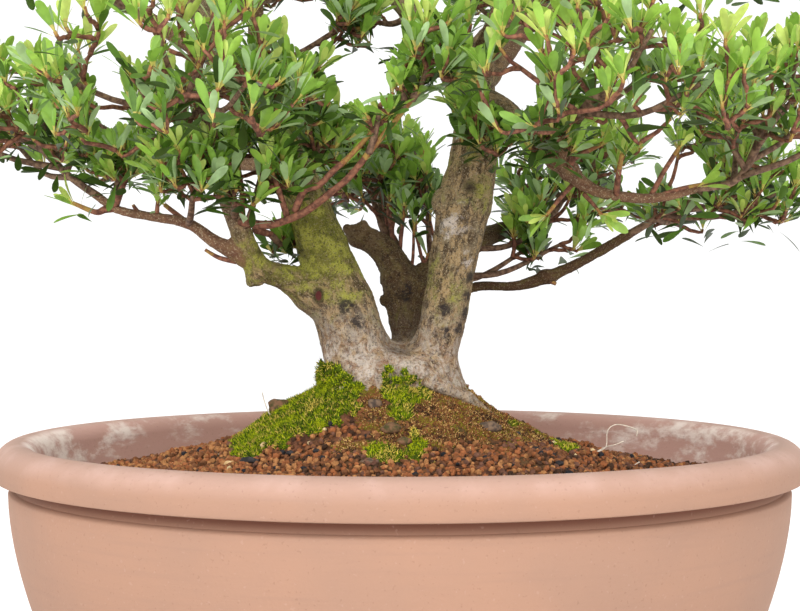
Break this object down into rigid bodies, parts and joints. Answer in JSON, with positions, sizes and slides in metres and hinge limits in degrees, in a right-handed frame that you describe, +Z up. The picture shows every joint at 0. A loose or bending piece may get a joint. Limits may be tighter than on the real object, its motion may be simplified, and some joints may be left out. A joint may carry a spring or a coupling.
{
  "type": "potted azalea bonsai",
  "caption": "Azalea bonsai with thick leaning stems on one flared foot, foliage in layered pads, heaped mossy soil, round clay training pot with rolled rim.",
  "frame": {"origin": "centre of the pot's flat underside, on the surface that the pot stands on", "axes": "+Z up, -Y towards the front of the plant, +X to the right seen from the front"},
  "size_m": [0.4808, 0.4024, 0.515],
  "materials": {
    "clay": "matt unglazed",
    "soil": "rough granules",
    "moss": "soft matt",
    "bark": "rough matt",
    "foliage": "satin"
  },
  "bodies": {
    "root": {"pot": "clay", "soil": "soil", "moss_left": "moss", "moss_front": "moss", "moss_right": "moss", "trunk": "bark", "stem_left": "bark", "stem_right": "bark", "stem_back": "bark", "bough_left_low": "bark", "bough_left_side": "bark", "bough_left_back": "bark", "bough_back_middle": "bark", "bough_back_right": "bark", "bough_right_low": "bark", "bough_right_side": "bark", "bough_right_front": "bark", "bough_mid_left": "bark", "bough_mid_left_front": "bark", "bough_mid_left_back": "bark", "bough_mid_right_back": "bark", "bough_mid_right": "bark", "bough_mid_right_front": "bark", "bough_top": "bark", "leaves_left_low": "foliage", "leaves_left_front": "foliage", "leaves_left_back": "foliage", "leaves_back_middle": "foliage", "leaves_back_right": "foliage", "leaves_right_low": "foliage", "leaves_right_side": "foliage", "leaves_right_front": "foliage", "leaves_mid_left": "foliage", "leaves_mid_left_front": "foliage", "leaves_mid_left_back": "foliage", "leaves_mid_right_back": "foliage", "leaves_mid_right": "foliage", "leaves_mid_right_front": "foliage", "leaves_top_left": "foliage", "leaves_top_right": "foliage", "leaves_top": "foliage"}
  },
  "joints": []
}
